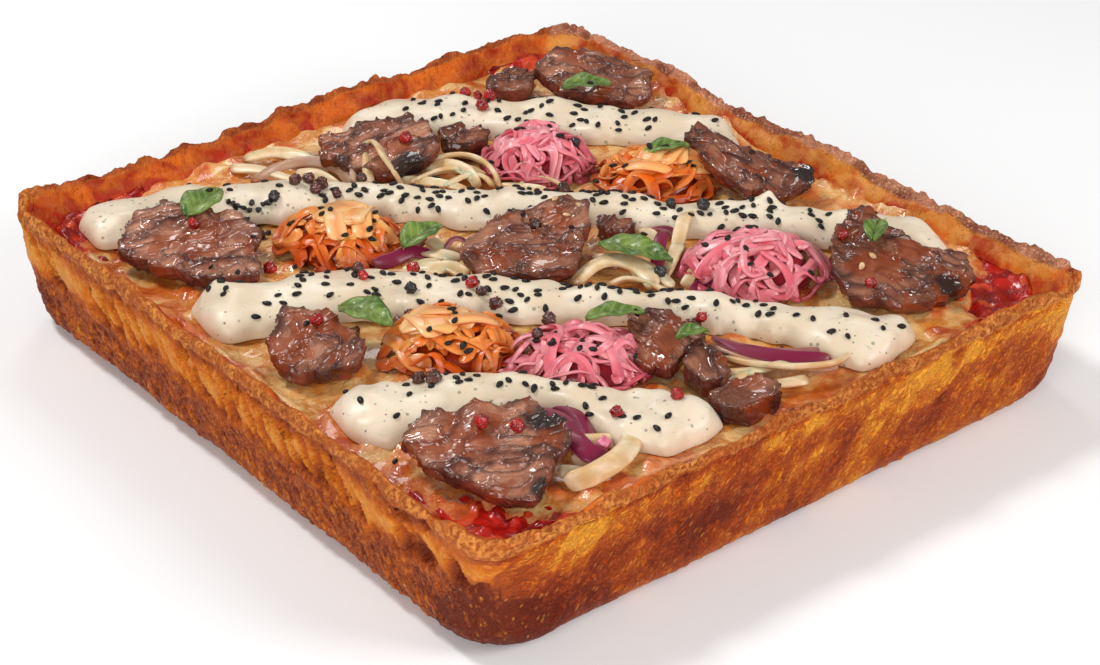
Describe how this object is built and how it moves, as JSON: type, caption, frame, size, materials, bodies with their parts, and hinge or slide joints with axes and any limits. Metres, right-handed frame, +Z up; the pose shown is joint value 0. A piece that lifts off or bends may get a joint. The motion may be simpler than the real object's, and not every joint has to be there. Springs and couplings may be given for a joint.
{
  "type": "detroit-style pizza",
  "caption": "Deep rectangular pan pizza with a tall crisp crust, melted cheese, cream bands, seared beef, kimchi, pink pickles, onion and basil.",
  "frame": {"origin": "middle of the crust's flat bottom", "axes": "+Z up; X across the short side, Y along the long side"},
  "size_m": [0.2539, 0.273, 0.0546],
  "materials": {
    "crust": "golden brown, crisp, pitted baked crust",
    "sauce": "bright red tomato sauce, wet",
    "cheese": "melted cheese with browned blisters and oil",
    "cream": "ivory cream sauce with herb flecks and black sesame",
    "beef": "seared, glazed beef",
    "kimchi": "orange shredded kimchi",
    "pickle": "pink pickled shreds",
    "onion": "soft cooked onion strands, some red",
    "basil": "fresh basil leaf"
  },
  "bodies": {
    "root": {"basil_1": "basil", "basil_2": "basil", "basil_3": "basil", "basil_4": "basil", "basil_5": "basil", "basil_6": "basil", "basil_7": "basil", "basil_8": "basil", "basil_9": "basil", "beef_a0": "beef", "beef_a1": "beef", "beef_b1": "beef", "beef_b2": "beef", "beef_b3": "beef", "beef_c1": "beef", "beef_c2": "beef", "beef_c2b": "beef", "beef_c3": "beef", "beef_d1": "beef", "beef_d2": "beef", "beef_d2b": "beef", "beef_d3": "beef", "beef_e1": "beef", "cheese": "cheese", "cream_band_1": "cream", "cream_band_2": "cream", "cream_band_3": "cream", "cream_band_4": "cream", "crust": "crust", "kimchi_b": "kimchi", "kimchi_c": "kimchi", "kimchi_d": "kimchi", "onion_back": "onion", "onion_centre": "onion", "onion_front": "onion", "onion_left": "onion", "onion_middle": "onion", "onion_right": "onion", "pickle_b": "pickle", "pickle_c": "pickle", "pickle_d": "pickle", "sauce": "sauce"}
  },
  "joints": []
}
